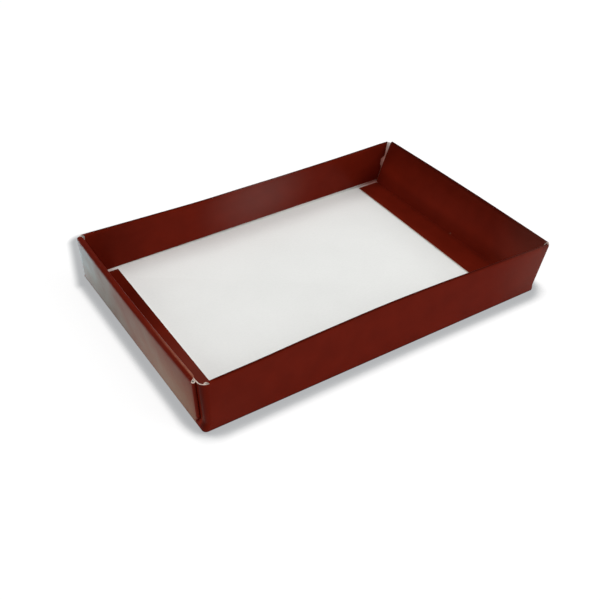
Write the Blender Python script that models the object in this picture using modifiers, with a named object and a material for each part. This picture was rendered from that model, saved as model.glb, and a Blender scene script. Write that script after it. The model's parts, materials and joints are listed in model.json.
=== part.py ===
"""Candy box base: an open tray folded from one die-cut sheet of carton.

The tray has double walls all round. Each long wall's board goes up, rolls over the rim and comes
down again inside, to a cut foot on the floor. Each end wall does the same, and its board then turns
along the floor as a flange that keeps the feet in place. At each corner a web joins the two walls:
the long wall's board wraps round the corner, runs in between the end wall's two skins, folds back
on a slanting crease and folds again at the end wall's side edge.

The sheet's middle surface is laid out as rows of points, which follow one horizontal line round the
tray at each height and then the rolled and inner panels. Solidify gives the board its thickness.
Lengths are in metres, +X runs along the tray, +Y to its back, +Z up.
"""

import math
from dataclasses import dataclass

import bmesh
import bpy
from mathutils import Vector

MM = 0.001
NAME = "candy_box_base"

# The board and its folds, measured to the middle of the board
BOARD = 0.46 * MM
PLY_PITCH = 0.70 * MM  # from one layer to the next, where layers lie together
FLOOR_FOLD = 0.50 * MM  # radius of the folds round the floor and at the flanges

# The tray outside
FLOOR_LENGTH = 196.7 * MM
FLOOR_WIDTH = 138.4 * MM
HEIGHT = 28.6 * MM

# How each wall stands: degrees out from upright, and how far its rim bows out at the middle
FRONT_LEAN, FRONT_BOW = 3.2, -3.0 * MM
BACK_LEAN, BACK_BOW = -3.7, -3.2 * MM
LEFT_LEAN, LEFT_BOW = 3.6, 1.0 * MM
RIGHT_LEAN, RIGHT_BOW = 11.6, 1.0 * MM

# Long walls: the inner panel behind the outer one, its foot, and the step in its side edges
LONG_RIM_PITCH = 1.10 * MM  # outer layer to inner layer, at the rim
LONG_FOOT_PITCH = 1.50 * MM  # and at the foot
FOOT_CLEARANCE = 0.30 * MM  # under the foot
STEP_HEIGHT = 18.0 * MM
STEP_RISE = 1.0 * MM
EDGE_GAP_RIM = 2.00 * MM  # from the inner panel's side edge to the end wall, at the rim
EDGE_GAP_STEP = 0.70 * MM  # above the step
EDGE_GAP_LOW = 2.00 * MM  # from the step down
WRAP_OVERLAP = 1.60 * MM  # how far the panel may run on behind the corner's wrap

# End walls: the flange on the floor, and the inner panel's side edges
FLANGE_CLEARANCE = 0.25 * MM  # between the floor and the flange
FLANGE_END_GAP = 1.00 * MM  # from the flange's ends to the long walls' inner panels
PANEL_END_GAP = 0.40 * MM  # from the inner panel's side edges to them, at the floor

# Web corners
WRAP_RADIUS_FLOOR = 2.0 * MM
NOSE_LAG = 0.60 * MM  # from the end of the wrap to the end wall's side fold, at the rim
WEB_START = 0.9 * MM  # height at which the side fold begins to form
WEB_FORMED = 3.4 * MM  # height at which it is pressed flat
WEB_SLOPE = 1.0  # the slanting crease runs at 45 degrees
WEB_MIN = 0.12 * MM
SHALLOW_SWEEP = math.radians(50)  # below this the side fold is laid out as if it were opened flat

# Mesh steps
FOLD_STEPS = 6
WRAP_STEPS = 5
FLOOR_FOLD_STEPS = 3
WEB_STEPS = 2
FORMING_ROWS = 4
LONG_STEPS = 14
END_STEPS = 10

COATED_BROWN = (0.105, 0.010, 0.006, 1.0)


@dataclass(frozen=True)
class Wall:
    """One side of the tray, by the line that its outer layer's middle follows."""

    sign: int
    half: float
    lean: float
    bow: float
    reach: float

    def line(self, along, z):
        """How far from the tray's centre the wall stands, at a place along it and a height."""
        bulge = max(0.0, 1.0 - (along / self.reach) ** 2)
        return self.half + z * math.tan(math.radians(self.lean)) + self.bow * bulge * z / HEIGHT


@dataclass(frozen=True)
class Corner:
    """Where a long wall and an end wall meet."""

    long_wall: Wall
    end_wall: Wall
    wrap_radius: float  # at the rim
    rim_gap: float  # from the end wall's inner panel to the long wall's, at the rim
    flange: float  # the flange's width at this corner

    def radius(self, z):
        """The radius at which the long wall's board wraps round the corner, at a height."""
        return mix(WRAP_RADIUS_FLOOR, self.wrap_radius, z / HEIGHT)

    def lag(self, z):
        """From the end of the wrap to the side fold, which stands straight up."""
        return self.wrap_radius + NOSE_LAG - self.radius(z)


@dataclass(frozen=True)
class Row:
    """One line round the tray: its heights on the long and end walls and how its corners fold."""

    z_long: float
    z_end: float
    inset: float
    sweep: float
    web: float


HALF_LENGTH = (FLOOR_LENGTH - BOARD) / 2
HALF_WIDTH = (FLOOR_WIDTH - BOARD) / 2
LONG_REACH = HALF_LENGTH - 2 * PLY_PITCH - WRAP_RADIUS_FLOOR
END_REACH = HALF_WIDTH - WRAP_RADIUS_FLOOR

FRONT = Wall(-1, HALF_WIDTH, FRONT_LEAN, FRONT_BOW, LONG_REACH)
BACK = Wall(1, HALF_WIDTH, BACK_LEAN, BACK_BOW, LONG_REACH)
LEFT = Wall(-1, HALF_LENGTH, LEFT_LEAN, LEFT_BOW, END_REACH)
RIGHT = Wall(1, HALF_LENGTH, RIGHT_LEAN, RIGHT_BOW, END_REACH)

FRONT_LEFT = Corner(FRONT, LEFT, wrap_radius=4.8 * MM, rim_gap=9.5 * MM, flange=15.6 * MM)
FRONT_RIGHT = Corner(FRONT, RIGHT, wrap_radius=3.6 * MM, rim_gap=3.0 * MM, flange=16.3 * MM)
BACK_RIGHT = Corner(BACK, RIGHT, wrap_radius=2.6 * MM, rim_gap=3.0 * MM, flange=11.8 * MM)
BACK_LEFT = Corner(BACK, LEFT, wrap_radius=2.2 * MM, rim_gap=3.5 * MM, flange=16.7 * MM)

LONG_ROLL = LONG_RIM_PITCH / 2
END_PITCH = 3 * PLY_PITCH
END_ROLL = END_PITCH / 2
RIM_LONG = HEIGHT - BOARD / 2 - LONG_ROLL
RIM_END = HEIGHT - BOARD / 2 - END_ROLL
FLOOR_TOP = BOARD
FLANGE_MIDDLE = FLOOR_TOP + FLANGE_CLEARANCE + BOARD / 2


def mix(first, second, share):
    """A value part of the way from the first to the second."""
    return first + (second - first) * share


def remove_everything():
    """Empties the file."""
    for old in list(bpy.data.objects):
        bpy.data.objects.remove(old, do_unlink=True)


def coated_board():
    """The brown coated side of the carton."""
    material = bpy.data.materials.new("coated_brown_board")
    material.use_nodes = True
    shader = material.node_tree.nodes["Principled BSDF"]
    shader.inputs["Base Color"].default_value = COATED_BROWN
    shader.inputs["Roughness"].default_value = 0.38
    shader.inputs["Metallic"].default_value = 0.0
    return material


def corner_line(row, radius, lag):
    """One corner's horizontal line, from the long wall's face to the end wall's face.

    Each point is (in from the end wall, in from the long wall, share), where share goes from 0 at
    the long wall to 1 where the wrap ends. A level cut through the slanting fold is longer than the
    fold is thick, by the slant.
    """
    fold = max(row.sweep, SHALLOW_SWEEP) * PLY_PITCH / 2
    slant = math.hypot(1.0, WEB_SLOPE) if row.web > WEB_MIN else 1.0
    turns = [(i + 0.5) / FOLD_STEPS * row.sweep for i in range(FOLD_STEPS)]
    steps = [((row.web + lag) / WEB_STEPS, 0.0, 1.0)] * WEB_STEPS
    steps += [(fold / FOLD_STEPS, turn, slant) for turn in turns]
    steps += [(row.web / WEB_STEPS, row.sweep, 1.0)] * WEB_STEPS
    steps += [(fold / FOLD_STEPS, turn, 1.0) for turn in reversed(turns)]
    depth = sum(length * math.sin(heading) for length, heading, _ in steps)

    points = []
    for i in range(WRAP_STEPS + 1):
        angle = math.pi / 2 * i / WRAP_STEPS
        inward = depth + radius * (1 - math.sin(angle))
        points.append((inward, radius * (1 - math.cos(angle)), i / WRAP_STEPS))
    inward, along = depth, radius
    for length, heading, stretch in steps:
        inward -= length * math.sin(heading)
        along += length * math.cos(heading) * stretch
        points.append((inward, along, 1.0))
    return points


def corner_points(corner, row):
    """The corner's line placed on its two walls."""
    level = mix(row.z_long, row.z_end, 0.5)
    placed = []
    for inward, along, share in corner_line(row, corner.radius(level) - row.inset, corner.lag(level)):
        z = mix(row.z_long, row.z_end, share)
        y = corner.long_wall.line(LONG_REACH, z) - row.inset - along
        x = corner.end_wall.line(y, z) - row.inset - inward
        placed.append(Vector((corner.end_wall.sign * x, corner.long_wall.sign * y, z)))
    return placed


def long_points(wall, start, end, row):
    """Points along a long wall between two corners, both left out."""
    points = []
    for i in range(1, LONG_STEPS):
        x = mix(start.x, end.x, i / LONG_STEPS)
        y = wall.sign * (wall.line(x, row.z_long) - row.inset)
        points.append(Vector((x, y, row.z_long)))
    return points


def end_points(wall, start, end, row):
    """Points along an end wall between two corners, both left out."""
    points = []
    for i in range(1, END_STEPS):
        y = mix(start.y, end.y, i / END_STEPS)
        x = wall.sign * (wall.line(y, row.z_end) - row.inset)
        points.append(Vector((x, y, row.z_end)))
    return points


def ring(row):
    """One closed line round the tray, from the front wall's left end to the right."""
    front_left, front_right, back_right, back_left = (
        corner_points(corner, row) for corner in (FRONT_LEFT, FRONT_RIGHT, BACK_RIGHT, BACK_LEFT)
    )
    line = [front_left[0]]
    line += long_points(FRONT, front_left[0], front_right[0], row)
    line += front_right
    line += end_points(RIGHT, front_right[-1], back_right[-1], row)
    line += reversed(back_right)
    line += long_points(BACK, back_right[0], back_left[0], row)
    line += back_left
    line += end_points(LEFT, back_left[-1], front_left[-1], row)
    line += list(reversed(front_left))[:-1]
    return line


def outer_rows():
    """The rows of the floor's edge, the outer walls and the webs, from the floor up."""
    rows = []
    for i in range(FLOOR_FOLD_STEPS + 1):
        angle = math.pi / 2 * i / FLOOR_FOLD_STEPS
        z = BOARD / 2 + FLOOR_FOLD * (1 - math.cos(angle))
        rows.append(Row(z, z, FLOOR_FOLD * (1 - math.sin(angle)), 0.0, WEB_MIN))
    for i in range(FORMING_ROWS + 1):
        share = i / FORMING_ROWS
        z = mix(WEB_START, WEB_FORMED, share)
        rows.append(Row(z, z, 0.0, math.pi * share, WEB_MIN))
    top = mix(RIM_LONG, RIM_END, 0.5)
    middle = mix(WEB_FORMED, top, 0.5)
    for z_long, z_end in ((middle, middle), (RIM_LONG, RIM_END)):
        web = WEB_MIN + WEB_SLOPE * (mix(z_long, z_end, 0.5) - WEB_FORMED)
        rows.append(Row(z_long, z_end, 0.0, math.pi, web))
    return rows


def long_edge(corner, z, gap):
    """Where a long wall's inner panel ends at a corner: x, clear of the end wall and the wrap."""
    from_panel = END_PITCH + BOARD / 2 + gap
    from_wrap = 2 * PLY_PITCH + corner.radius(z) - WRAP_OVERLAP
    return corner.end_wall.sign * (corner.end_wall.line(END_REACH, z) - max(from_panel, from_wrap))


def long_pitch(z):
    """Distance from a long wall's outer layer to its inner layer."""
    return mix(LONG_FOOT_PITCH, LONG_RIM_PITCH, z / RIM_LONG)


def long_flap(wall, start, end, first, last):
    """Rows of a long wall's rolled rim and inner panel, given the outer wall's two end points."""
    rows = []
    for i in range(1, FOLD_STEPS + 1):
        angle = math.pi * i / FOLD_STEPS
        share = i / FOLD_STEPS
        x_start = mix(start.x, long_edge(first, RIM_LONG, EDGE_GAP_RIM), share)
        x_end = mix(end.x, long_edge(last, RIM_LONG, EDGE_GAP_RIM), share)
        rows.append(
            (x_start, x_end, LONG_ROLL * (1 - math.cos(angle)), RIM_LONG + LONG_ROLL * math.sin(angle))
        )
    cuts = (
        (STEP_HEIGHT + STEP_RISE, EDGE_GAP_STEP),
        (STEP_HEIGHT, EDGE_GAP_LOW),
        (FLOOR_TOP + FOOT_CLEARANCE, EDGE_GAP_LOW),
    )
    for z, gap in cuts:
        rows.append((long_edge(first, z, gap), long_edge(last, z, gap), long_pitch(z), z))

    flap = []
    for x_start, x_end, pitch, z in rows:
        line = []
        for i in range(LONG_STEPS + 1):
            x = mix(x_start, x_end, i / LONG_STEPS)
            y = wall.line(x, min(z, RIM_LONG)) - pitch
            line.append(Vector((x, wall.sign * y, z)))
        flap.append(line)
    return flap


def end_edge(corner, z, gap_floor):
    """Where an end wall's inner panel or flange ends at a corner: y, clear of the inner panel."""
    gap = mix(gap_floor, corner.rim_gap, max(0.0, z - FLANGE_MIDDLE) / (RIM_END - FLANGE_MIDDLE))
    inside = corner.long_wall.line(LONG_REACH, z) - long_pitch(z) - BOARD / 2 - gap
    return corner.long_wall.sign * inside


def end_flap(wall, start, end, first, last):
    """Rows of an end wall's rolled rim, inner panel and floor flange."""
    rows = []
    for i in range(1, FOLD_STEPS + 1):
        angle = math.pi * i / FOLD_STEPS
        share = i / FOLD_STEPS
        y_start = mix(start.y, end_edge(first, RIM_END, PANEL_END_GAP), share)
        y_end = mix(end.y, end_edge(last, RIM_END, PANEL_END_GAP), share)
        inward = END_ROLL * (1 - math.cos(angle))
        rows.append((y_start, y_end, inward, inward, RIM_END + END_ROLL * math.sin(angle)))
    low = FLANGE_MIDDLE + FLOOR_FOLD
    for z in (mix(RIM_END, low, 0.5), low):
        y_start, y_end = end_edge(first, z, PANEL_END_GAP), end_edge(last, z, PANEL_END_GAP)
        rows.append((y_start, y_end, END_PITCH, END_PITCH, z))
    y_start, y_end = end_edge(first, low, FLANGE_END_GAP), end_edge(last, low, FLANGE_END_GAP)
    for i in range(1, FLOOR_FOLD_STEPS + 1):
        angle = math.pi / 2 * i / FLOOR_FOLD_STEPS
        inward = END_PITCH + FLOOR_FOLD * (1 - math.cos(angle))
        rows.append((y_start, y_end, inward, inward, low - FLOOR_FOLD * math.sin(angle)))
    inward = END_PITCH + BOARD / 2
    rows.append((y_start, y_end, inward + first.flange, inward + last.flange, FLANGE_MIDDLE))

    flap = []
    for y_start, y_end, in_start, in_end, z in rows:
        line = []
        for i in range(END_STEPS + 1):
            y = mix(y_start, y_end, i / END_STEPS)
            x = wall.line(y, min(z, RIM_END)) - mix(in_start, in_end, i / END_STEPS)
            line.append(Vector((wall.sign * x, y, z)))
        flap.append(line)
    return flap


def bridge(mesh, lower, upper, closed):
    """Quads between two rows of the sheet that hold as many points each."""
    count = len(lower)
    for i in range(count if closed else count - 1):
        j = (i + 1) % count
        mesh.faces.new((lower[i], lower[j], upper[j], upper[i]))


def add_flap(mesh, edge, rows):
    """Carries the sheet on from a stretch of the top edge."""
    lower = edge
    for line in rows:
        upper = [mesh.verts.new(point) for point in line]
        bridge(mesh, lower, upper, closed=False)
        lower = upper


def folded_sheet():
    """The middle surface of the folded sheet."""
    mesh = bmesh.new()
    rings = [[mesh.verts.new(point) for point in ring(row)] for row in outer_rows()]
    mesh.faces.new(rings[0])
    for lower, upper in zip(rings, rings[1:]):
        bridge(mesh, lower, upper, closed=True)

    top = rings[-1]
    corner_count = WRAP_STEPS + 2 * WEB_STEPS + 2 * FOLD_STEPS + 1
    front = top[: LONG_STEPS + 1]
    right_first = LONG_STEPS + corner_count - 1
    right = top[right_first : right_first + END_STEPS + 1]
    back_first = right_first + END_STEPS + corner_count - 1
    back = top[back_first : back_first + LONG_STEPS + 1]
    left_first = back_first + LONG_STEPS + corner_count - 1
    left = top[left_first : left_first + END_STEPS + 1]

    sides = (
        (front, long_flap, FRONT, FRONT_LEFT, FRONT_RIGHT),
        (right, end_flap, RIGHT, FRONT_RIGHT, BACK_RIGHT),
        (back, long_flap, BACK, BACK_RIGHT, BACK_LEFT),
        (left, end_flap, LEFT, BACK_LEFT, FRONT_LEFT),
    )
    for edge, flap, wall, first, last in sides:
        add_flap(mesh, edge, flap(wall, edge[0].co, edge[-1].co, first, last))
    bmesh.ops.recalc_face_normals(mesh, faces=mesh.faces)
    return mesh


def centre_on_floor(mesh):
    """Puts the middle of the tray's own box over the origin, with its underside at z = 0."""
    lows = [min(vert.co[axis] for vert in mesh.verts) for axis in range(3)]
    highs = [max(vert.co[axis] for vert in mesh.verts) for axis in range(3)]
    shift = Vector((-(lows[0] + highs[0]) / 2, -(lows[1] + highs[1]) / 2, BOARD / 2 - lows[2]))
    bmesh.ops.translate(mesh, verts=mesh.verts, vec=shift)


def build():
    """The tray as one object, in a collection named for it."""
    remove_everything()
    sheet = folded_sheet()
    centre_on_floor(sheet)
    data = bpy.data.meshes.new(NAME)
    sheet.to_mesh(data)
    sheet.free()
    data.materials.append(coated_board())
    tray = bpy.data.objects.new(NAME, data)

    collection = bpy.data.collections.new("candy_box_base_parts")
    bpy.context.scene.collection.children.link(collection)
    collection.objects.link(tray)

    board = tray.modifiers.new("board_thickness", "SOLIDIFY")
    board.thickness = BOARD
    board.offset = 0.0
    board.use_even_offset = True
    board.use_quality_normals = True


build()
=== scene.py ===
"""Looks for the candy box base: the folded tray again at a finer step, with board, cut edges and light.

The tray is one die-cut sheet of carton, coated brown on one side and white on the other. Its middle
surface is laid out as rows of points by the same rules as the solid's, given the board's thickness,
and replaces the solid in the view. Lengths are in metres, +X runs along the tray, +Y to its back.
"""

import heapq
import json
import logging
import math
from dataclasses import dataclass, field
from enum import Enum, IntEnum
from functools import reduce

import bmesh
import bpy
from mathutils import Matrix, Vector

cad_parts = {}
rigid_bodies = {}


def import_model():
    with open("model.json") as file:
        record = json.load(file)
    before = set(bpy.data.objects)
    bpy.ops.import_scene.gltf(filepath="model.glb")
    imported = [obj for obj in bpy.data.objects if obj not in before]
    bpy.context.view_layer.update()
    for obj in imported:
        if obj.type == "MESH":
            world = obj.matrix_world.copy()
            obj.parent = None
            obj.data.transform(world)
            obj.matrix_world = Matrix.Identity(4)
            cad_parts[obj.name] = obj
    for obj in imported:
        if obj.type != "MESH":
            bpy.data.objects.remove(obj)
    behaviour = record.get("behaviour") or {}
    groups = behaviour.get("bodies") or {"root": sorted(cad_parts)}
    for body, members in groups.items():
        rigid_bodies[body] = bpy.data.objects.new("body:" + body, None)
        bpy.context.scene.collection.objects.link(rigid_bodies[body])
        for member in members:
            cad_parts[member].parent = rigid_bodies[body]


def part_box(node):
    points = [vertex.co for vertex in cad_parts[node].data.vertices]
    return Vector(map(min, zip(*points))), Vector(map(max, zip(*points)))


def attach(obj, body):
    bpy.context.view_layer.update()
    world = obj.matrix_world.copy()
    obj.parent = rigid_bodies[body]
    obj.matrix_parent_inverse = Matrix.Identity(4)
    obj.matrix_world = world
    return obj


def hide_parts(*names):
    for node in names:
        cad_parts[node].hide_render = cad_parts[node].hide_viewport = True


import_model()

MM = 0.001
NODE = "candy_box_base"
BODY = "root"

Pair = tuple[float, float]
Triple = tuple[float, float, float]
Range = tuple[float, float, float, float]  # from low, from high, to low, to high
Socket = bpy.types.NodeSocket
Value = Socket | float | tuple  # what an input takes: a link or a value

logging.basicConfig(level=logging.INFO, format="%(message)s")
log = logging.getLogger("candy_box_base")


def mm(*lengths: float) -> tuple[float, ...]:
    """Gives lengths in millimetres as metres."""
    return tuple(length * MM for length in lengths)


def mix(first: float, second: float, share: float) -> float:
    """Gives the value that lies a share of the way from the first to the second."""
    return first + (second - first) * share


def level_at(stops: tuple[Pair, ...], place: float) -> float:
    """Reads a value off a broken line.

    Args:
        stops: (place, value) pairs, with places rising.
        place: where to read.

    Returns:
        The value there, held flat beyond the ends.
    """
    if place <= stops[0][0]:
        return stops[0][1]
    for (low, first), (high, second) in zip(stops, stops[1:]):
        if place <= high:
            return mix(first, second, (place - low) / (high - low))
    return stops[-1][1]


# ---- sizes


@dataclass(frozen=True)
class Board:
    """The carton and how it folds."""

    thickness: float = 0.46 * MM
    pitch: float = 0.70 * MM  # from one layer to the next, where layers lie together
    web_pitch: float = 0.55 * MM  # the same where the side fold is pressed flat
    fold: float = 0.50 * MM  # radius of the folds round the floor and at the flanges
    # its own unevenness, as the length, share and turn of phase of each swell
    swells: tuple[Triple, ...] = ((17 * MM, 1.0, 1.0), (7.3 * MM, 0.6, -2.1))
    foot_swell: float = 0.4  # how much of that is left towards a wall's foot


@dataclass(frozen=True)
class Steps:
    """How finely each stretch of the sheet is laid out; panel is above, over and below the step."""

    fold: int = 12
    wrap: int = 14
    floor_fold: int = 5
    web: int = 5
    forming: int = 10
    wall: int = 12
    long: int = 72
    end: int = 48
    flange: int = 6
    panel: tuple[int, int, int] = (5, 3, 8)


BOARD = Board()
STEPS = Steps()


@dataclass(frozen=True)
class TraySize:
    """The tray outside, and the places of its panels."""

    length: float = 196.7 * MM  # of the floor, outside
    width: float = 138.4 * MM  # of the floor, outside
    height: float = 28.6 * MM  # to the top of the rims
    long_rim_pitch: float = 1.10 * MM  # outer to inner layer of a long wall, at the rim
    long_foot_pitch: float = 1.50 * MM  # the same at the foot
    end_roll: float = 1.05 * MM  # height of an end wall's rolled rim
    ridge_angle: float = math.radians(118)  # how far round that rim its inner ridge lies
    ridge_spread: float = math.radians(34)  # from there to where the ridge ends
    foot_clearance: float = 0.30 * MM  # under a long wall's inner panel
    foot_curve: float = 0.8  # the power by which a lifted foot rises along its wall
    step_height: float = 18 * MM  # where that panel's side edges step
    step_rise: float = 1 * MM  # how tall the step is
    rim_gap: float = 0.80 * MM  # from that panel's side edge to the end wall's, at the rim
    step_gap: float = -0.45 * MM  # the same just above the step, where it runs behind that panel
    # the same from the foot up to the step, each by its share of the step's height
    low_gaps: tuple[Pair, ...] = ((0.60, -0.80 * MM), (0.74, 1.05 * MM), (1.0, 1.50 * MM))
    wrap_overlap: float = 1.60 * MM  # how far the panel runs on behind the corner's wrap
    flange_clearance: float = 0.25 * MM  # between the floor and the flange
    flange_crease: float = 0.3  # how sharply the flange is creased
    panel_end_gap: float = 0.20 * MM  # from the end wall's inner panel to the long wall's, at the floor
    wrap_radius_floor: float = 2 * MM  # radius of the corners at the floor
    nose_lag: float = 0.60 * MM  # from the end of the wrap to the side fold, at the rim
    web_start: float = 0.9 * MM  # height at which the side fold begins to form
    web_formed: float = 5 * MM  # height at which it is pressed flat
    web_min: float = 0.12 * MM  # least depth of the pleat
    least_sweep: float = math.radians(50)  # the side fold's bends are never shorter than for this sweep

    @property
    def half_length(self) -> float:
        """From the tray's centre to the middle of an end wall's board, at the floor."""
        return (self.length - BOARD.thickness) / 2

    @property
    def half_width(self) -> float:
        """The same for a long wall."""
        return (self.width - BOARD.thickness) / 2

    @property
    def flange_middle(self) -> float:
        """Height of the middle of the flanges' board."""
        return 1.5 * BOARD.thickness + self.flange_clearance


SIZE = TraySize()


@dataclass(frozen=True)
class WallKind:
    """What the two long walls, or the two end walls, have in common."""

    axis: int  # the axis that they run along, 0 or 1
    reach: float  # how far they run to each side before a corner begins
    roll: float  # height of the rolled rim over the outer layer's top
    steps: int  # how many steps they are laid out in
    narrowing: int  # how late in its roll the rim draws in to the inner panel's width
    ridge: float  # 1 where the rim's inner side is pressed to a ridge, 0 where it stays round

    @property
    def top(self) -> float:
        """Height at which the outer layer ends and the rim begins to roll."""
        return SIZE.height - BOARD.thickness / 2 - self.roll


LONG = WallKind(
    axis=0,
    reach=SIZE.half_length - 2 * BOARD.pitch - SIZE.wrap_radius_floor,
    roll=SIZE.long_rim_pitch / 2,
    steps=STEPS.long,
    narrowing=1,
    ridge=0.0,
)
END = WallKind(
    axis=1,
    reach=SIZE.half_width - SIZE.wrap_radius_floor,
    roll=SIZE.end_roll,
    steps=STEPS.end,
    narrowing=3,
    ridge=1.0,
)


class Side(Enum):
    """The tray's four sides, in the order of a walk round it."""

    FRONT = "front"
    RIGHT = "right"
    BACK = "back"
    LEFT = "left"


class Face(IntEnum):
    """The sheet's faces, as the mesh's material slots."""

    COATED = 0
    WHITE = 1
    CUT = 2


# ---- the folded sheet


@dataclass(frozen=True)
class Wall:
    """One side of the tray, by the line that its outer layer's middle follows."""

    kind: WallKind  # long wall or end wall
    sign: int  # +1 or -1, the way it faces
    half: float  # its distance from the tray's centre at the floor
    lean: float  # degrees out from upright
    bow: float  # how far its rim bows out at the middle
    wave: float  # depth of the board's own unevenness
    phase: float  # where along the wall that unevenness starts
    skew: float = 0.0  # how far its foot stands further out at its right or back end than at the middle
    twist: float = 0.0  # the same for its rim, over its foot
    pitch: float = SIZE.long_rim_pitch  # its outer to its inner layer, at the rim
    lift: float = 0.0  # how far the inner panel's foot rises towards the right
    # where its rim stands out or in by itself, each by its middle, width and depth
    hollows: tuple[Triple, ...] = ()

    def line(self, along: float, z: float) -> float:
        """How far from the tray's centre the wall stands.

        Args:
            along: place along the wall.
            z: height.

        Returns:
            The distance, always positive.
        """
        reach = self.kind.reach
        bulge = max(0.0, 1.0 - (along / reach) ** 2)
        rise = z / SIZE.height
        swell = sum(
            share * math.sin(along / length + turn * self.phase) for length, share, turn in BOARD.swells
        )
        uneven = self.wave * swell * bulge * rise * mix(BOARD.foot_swell, 1.0, rise)
        askew = (self.skew + self.twist * rise) * along / reach
        pressed = sum(
            depth * rise * math.exp(-(((along - middle) / width) ** 2))
            for middle, width, depth in self.hollows
        )
        leaning = z * math.tan(math.radians(self.lean))
        return self.half + leaning + self.bow * bulge * rise + uneven + askew + pressed

    def point(self, along: float, z: float, inset: float) -> Vector:
        """A point of the sheet, in from the outer layer. The rolled rim follows that layer's top."""
        out = self.sign * (self.line(along, min(z, self.kind.top)) - inset)
        return Vector((out, along, z) if self.kind.axis else (along, out, z))

    def raised(self, along: float, z: float) -> float:
        """The height of a point of the inner panel, raised where the foot rises."""
        share = min(1.0, max(0.0, 0.5 + 0.5 * along / self.kind.reach))
        return z + self.lift * share**SIZE.foot_curve * max(0.0, 1.0 - z / SIZE.step_height)


@dataclass(frozen=True)
class Row:
    """One line round the tray: its heights, its inset and how its corners fold."""

    z_long: float
    z_end: float
    inset: float
    sweep: float
    web: float
    creased: float = 0.0


@dataclass(frozen=True)
class FlapRow:
    """One line of a rim, inner panel or flange: its two ends, its inset at each and its height."""

    ends: Pair
    insets: Pair
    z: float
    creased: float = 0.0
    ridge: float = 0.0


def long_pitch(z: float) -> float:
    """Distance from a long wall's outer layer to its inner layer, at a height."""
    return mix(SIZE.long_foot_pitch, SIZE.long_rim_pitch, z / LONG.top)


@dataclass(frozen=True)
class Corner:
    """Where a long wall and an end wall meet."""

    long_wall: Wall  # the wall whose board wraps round the corner
    end_wall: Wall  # the wall that it runs into
    wrap_radius: float  # radius of the wrap at the rim
    rim_gap: float  # from the end wall's inner panel to the long wall's, at the rim
    flange: float  # the floor flange's width here
    end_gap: float = 1 * MM  # from the flange's end to the long wall's inner panel
    side_gap: float = 0.0  # what the gap at that panel's side edge is wider by than elsewhere
    nose_run: float = 0.0  # how much further from the wrap the side fold stands at the floor
    nose_pitch: float = BOARD.web_pitch  # how far apart the side fold's outer two layers stand

    def radius(self, z: float) -> float:
        """The wrap's radius at a height."""
        return mix(min(SIZE.wrap_radius_floor, self.wrap_radius), self.wrap_radius, z / SIZE.height)

    def lag(self, z: float) -> float:
        """From the end of the wrap to the side fold."""
        spread = SIZE.nose_lag + (self.nose_pitch - BOARD.web_pitch) / 2
        return self.wrap_radius + spread - self.radius(z) + self.nose_run * (1 - z / SIZE.height)

    def long_line(self, z: float) -> float:
        """How far from the tray's centre the long wall stands, where the corner begins."""
        return self.long_wall.line(self.end_wall.sign * LONG.reach, z)

    def long_edge(self, z: float, gap: float) -> float:
        """Where the long wall's inner panel ends, clear of the end wall and the wrap.

        Args:
            z: height.
            gap: from there to the end wall's inner panel.

        Returns:
            Its place along X.
        """
        end_line = self.end_wall.line(self.long_wall.sign * END.reach, z)
        wider = self.side_gap * min(1.0, z / SIZE.step_height)
        from_panel = self.end_wall.pitch + BOARD.thickness / 2 + gap + wider
        from_wrap = 2 * BOARD.pitch + self.radius(z) - SIZE.wrap_overlap
        return self.end_wall.sign * (end_line - max(from_panel, from_wrap))

    def end_edge(self, z: float, gap_floor: float) -> float:
        """Where the end wall's inner panel or flange ends, clear of the long wall's inner panel.

        Args:
            z: height.
            gap_floor: from there to that panel at the floor.

        Returns:
            Its place along Y.
        """
        share = max(0.0, z - SIZE.flange_middle) / (END.top - SIZE.flange_middle)
        gap = mix(gap_floor, self.rim_gap, share * share)
        out = self.long_line(z) - long_pitch(z) - BOARD.thickness / 2 - gap
        return self.long_wall.sign * out

    def line(self, row: Row) -> list[Triple]:
        """Its horizontal line, from the long wall's face to the end wall's face.

        Args:
            row: which row.

        Returns:
            (in from the end wall, in from the long wall, share) for each point. Share goes from 0 at
            the long wall to 1 where the wrap ends.
        """
        level = mix(row.z_long, row.z_end, 0.5)
        radius, lag = self.radius(level) - row.inset, self.lag(level)
        swept = max(row.sweep, SIZE.least_sweep)
        fold, bend = swept * BOARD.web_pitch / 2, swept * self.nose_pitch / 2
        slant = math.sqrt(2.0) if row.web > SIZE.web_min else 1.0
        turns = [(i + 0.5) / STEPS.fold * row.sweep for i in range(STEPS.fold)]
        steps = [((row.web + lag) / STEPS.web, 0.0, 1.0)] * STEPS.web
        steps += [(fold / STEPS.fold, turn, slant) for turn in turns]
        steps += [(row.web / STEPS.web, row.sweep, 1.0)] * STEPS.web
        steps += [(bend / STEPS.fold, turn, 1.0) for turn in reversed(turns)]
        inward = sum(length * math.sin(heading) for length, heading, _ in steps)

        points = []
        for i in range(STEPS.wrap + 1):
            angle = math.pi / 2 * i / STEPS.wrap
            round_in = inward + radius * (1 - math.sin(angle))
            points.append((round_in, radius * (1 - math.cos(angle)), i / STEPS.wrap))
        along = radius
        for length, heading, stretch in steps:
            inward -= length * math.sin(heading)
            along += length * math.cos(heading) * stretch
            points.append((inward, along, 1.0))
        return points

    def points(self, row: Row) -> list[Vector]:
        """Places that line on the two walls.

        Args:
            row: which row.

        Returns:
            The points, from the long wall to the end wall.
        """
        placed = []
        for inward, along, share in self.line(row):
            z = mix(row.z_long, row.z_end, share)
            y = self.long_line(z) - row.inset - along
            x = self.end_wall.line(y, z) - row.inset - inward
            placed.append(Vector((self.end_wall.sign * x, self.long_wall.sign * y, z)))
        return placed


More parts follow.
